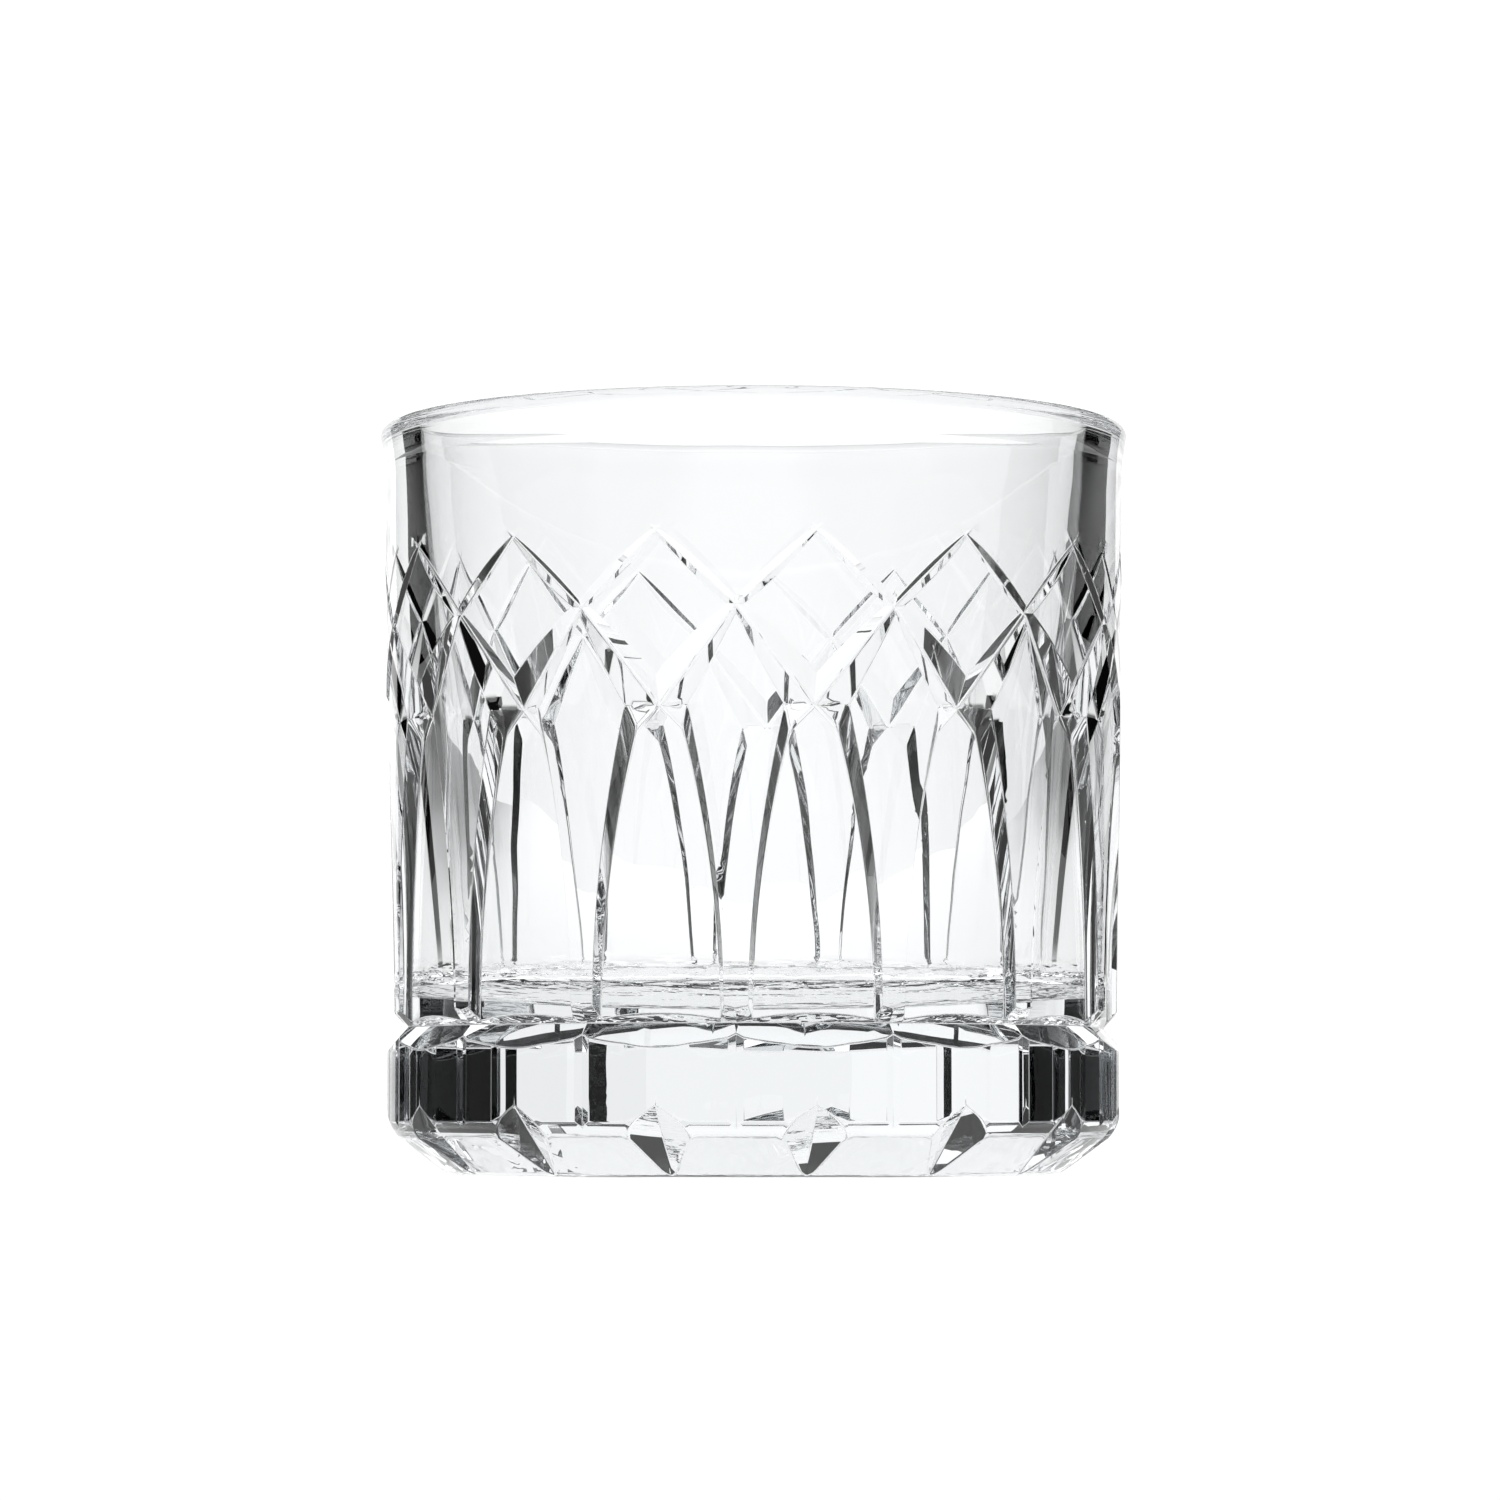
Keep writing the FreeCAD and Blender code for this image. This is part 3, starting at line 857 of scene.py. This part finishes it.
def ripple_strength(tree, place):
    """How strong the ripples are: full at the bore's corner, and none a little way up the wall."""
    split = tree.nodes.new("ShaderNodeSeparateXYZ")
    tree.links.new(place, split.inputs["Vector"])
    height = split.outputs["Z"]
    near_floor = tree.nodes.new("ShaderNodeMapRange")
    near_floor.interpolation_type = "SMOOTHSTEP"
    near_floor.inputs["From Min"].default_value = (BORE_FLOOR_Z + RIPPLE_HEIGHT) * MM
    near_floor.inputs["From Max"].default_value = BORE_FLOOR_Z * MM
    tree.links.new(height, near_floor.inputs["Value"])
    radius = tree.nodes.new("ShaderNodeVectorMath")
    radius.operation = "LENGTH"
    tree.links.new(scaled(tree, place, (1.0, 1.0, 0.0)), radius.inputs[0])
    in_bore = reckoned(tree, "LESS_THAN", radius.outputs["Value"], RIPPLE_REACH * MM)
    above_waist = reckoned(tree, "GREATER_THAN", height, (BORE_FLOOR_Z - RIPPLE_DEPTH) * MM)
    inner = reckoned(tree, "MULTIPLY", above_waist, in_bore)
    span = reckoned(tree, "MULTIPLY", near_floor.outputs["Result"], inner)
    return reckoned(tree, "MULTIPLY", span, RIPPLE_STRENGTH)


def clear_glass():
    """Pressed glass: clear, with faint mould waves and fine chill ripples round the bore's foot."""
    material, shader = principled("pressed_clear_glass")
    tree = material.node_tree
    shader.inputs["Base Color"].default_value = GLASS_COLOUR
    shader.inputs["Transmission Weight"].default_value = 1.0
    shader.inputs["IOR"].default_value = GLASS_INDEX
    shader.inputs["Roughness"].default_value = 0.0
    depth_tint = tree.nodes.new("ShaderNodeVolumeAbsorption")
    depth_tint.inputs["Color"].default_value = DEPTH_TINT
    depth_tint.inputs["Density"].default_value = DEPTH_TINT_DENSITY
    tree.links.new(depth_tint.outputs["Volume"], tree.nodes["Material Output"].inputs["Volume"])

    place = tree.nodes.new("ShaderNodeTexCoord").outputs["Object"]
    waves = noise(tree, place, MOULD_WAVES, MOULD_DETAIL)
    mould_bump = tree.nodes.new("ShaderNodeBump")
    mould_bump.inputs["Strength"].default_value = MOULD_STRENGTH
    mould_bump.inputs["Distance"].default_value = BUMP_DISTANCE
    tree.links.new(waves, mould_bump.inputs["Height"])
    ripples = noise(tree, scaled(tree, place, RIPPLE_STRETCH), RIPPLES, RIPPLE_DETAIL)
    ripple_bump = tree.nodes.new("ShaderNodeBump")
    ripple_bump.inputs["Distance"].default_value = BUMP_DISTANCE
    tree.links.new(ripple_strength(tree, place), ripple_bump.inputs["Strength"])
    tree.links.new(ripples, ripple_bump.inputs["Height"])
    tree.links.new(mould_bump.outputs["Normal"], ripple_bump.inputs["Normal"])
    tree.links.new(ripple_bump.outputs["Normal"], shader.inputs["Normal"])
    return material


def table_material():
    """A grey table with a painted pool of light: its glow is brightest along the middle and falls
    off to both sides.
    """
    material, shader = principled("table_painted_light_pool")
    nodes, links = material.node_tree.nodes, material.node_tree.links
    shader.inputs["Base Color"].default_value = TABLE_COLOUR
    shader.inputs["Roughness"].default_value = TABLE_ROUGHNESS
    shader.inputs["Emission Color"].default_value = WHITE
    place = nodes.new("ShaderNodeTexCoord")
    split = nodes.new("ShaderNodeSeparateXYZ")
    side = nodes.new("ShaderNodeMath")
    side.operation = "ABSOLUTE"
    # Painted pool of light: the glow fades from the middle out to both sides
    fall = nodes.new("ShaderNodeMapRange")
    fall.interpolation_type = "SMOOTHSTEP"
    fall.inputs["From Min"].default_value = TABLE_POOL_FULL_X
    fall.inputs["From Max"].default_value = TABLE_POOL_FADE_END_X
    fall.inputs["To Min"].default_value = TABLE_GLOW
    fall.inputs["To Max"].default_value = TABLE_SIDE_GLOW
    links.new(place.outputs["Object"], split.inputs["Vector"])
    links.new(split.outputs["X"], side.inputs[0])
    links.new(side.outputs["Value"], fall.inputs["Value"])
    links.new(fall.outputs["Result"], shader.inputs["Emission Strength"])
    return material


def glowing(name, top, low_strength, high_strength):
    """A white light-giving surface whose brightness changes evenly from the table to its top."""
    material = bpy.data.materials.new(name)
    material.use_nodes = True
    nodes, links = material.node_tree.nodes, material.node_tree.links
    nodes.clear()
    place = nodes.new("ShaderNodeTexCoord")
    split = nodes.new("ShaderNodeSeparateXYZ")
    change = nodes.new("ShaderNodeMapRange")
    change.inputs["From Max"].default_value = top
    change.inputs["To Min"].default_value = low_strength
    change.inputs["To Max"].default_value = high_strength
    light = nodes.new("ShaderNodeEmission")
    out = nodes.new("ShaderNodeOutputMaterial")
    links.new(place.outputs["Object"], split.inputs["Vector"])
    links.new(split.outputs["Z"], change.inputs["Value"])
    links.new(change.outputs["Result"], light.inputs["Strength"])
    links.new(light.outputs["Emission"], out.inputs["Surface"])
    return material


def staged_sheet(name, corners, faces, material):
    """A staging sheet that isn't part of the glass."""
    made = bpy.data.meshes.new(name)
    made.from_pydata(corners, [], faces)
    made.materials.append(material)
    staged = bpy.data.objects.new(name, made)
    bpy.context.scene.collection.objects.link(staged)


def screen(name, first, last, top, low_strength, high_strength):
    """A curved upright screen about the axis."""
    steps = max(1, round((last - first) / SCREEN_STEP))
    corners, faces = [], []
    for k in range(steps + 1):
        angle = math.radians(first + (last - first) * k / steps)
        x, y = SCREEN_RADIUS * math.sin(angle), SCREEN_RADIUS * math.cos(angle)
        corners += [(x, y, 0.0), (x, y, top)]
    for k in range(steps):
        faces.append((2 * k, 2 * k + 2, 2 * k + 3, 2 * k + 1))
    staged_sheet(name, corners, faces, glowing(name, top, low_strength, high_strength))


def studio():
    """A table with a painted pool of white light, in a dark room: white screens behind the glass,
    and dark ones round it.
    """
    rim = []
    for k in range(TABLE_SIDES):
        angle = 2.0 * math.pi * k / TABLE_SIDES
        rim.append((TABLE_RADIUS * math.cos(angle), TABLE_RADIUS * math.sin(angle), 0.0))
    staged_sheet("table", rim, [tuple(range(TABLE_SIDES))], table_material())
    for name, shape in SCREENS.items():
        screen(name, *shape)


def photo_camera():
    """A view from just above the table, tipped up a little toward the glass."""
    camera_data = bpy.data.cameras.new("camera")
    camera_data.lens = CAMERA_LENS
    camera_data.sensor_width = SENSOR_WIDTH
    camera_data.clip_start, camera_data.clip_end = CAMERA_RANGE
    camera = bpy.data.objects.new("camera", camera_data)
    turn = math.radians(CAMERA_TURN)
    camera.location = (
        CAMERA_DISTANCE * math.sin(turn),
        -CAMERA_DISTANCE * math.cos(turn),
        CAMERA_HEIGHT,
    )
    pitch = math.radians(90.0 + CAMERA_PITCH)
    pan = turn + math.radians(CAMERA_PAN)
    camera.rotation_euler = (pitch, 0.0, pan)
    bpy.context.scene.collection.objects.link(camera)
    bpy.context.scene.camera = camera


def background():
    """The dim room behind and over the screens."""
    world = bpy.data.worlds.new("studio_room")
    world.use_nodes = True
    shade = world.node_tree.nodes["Background"]
    shade.inputs["Color"].default_value = WHITE
    shade.inputs["Strength"].default_value = ROOM_GLOW
    bpy.context.scene.world = world


glass_mesh.materials.append(clear_glass())
studio()
background()
photo_camera()

scene = bpy.context.scene
scene.cycles.max_bounces = BOUNCES
scene.cycles.transmission_bounces = BOUNCES
scene.cycles.transparent_max_bounces = TRANSPARENT_BOUNCES
scene.cycles.glossy_bounces = GLOSSY_BOUNCES
scene.view_settings.view_transform = "Standard"
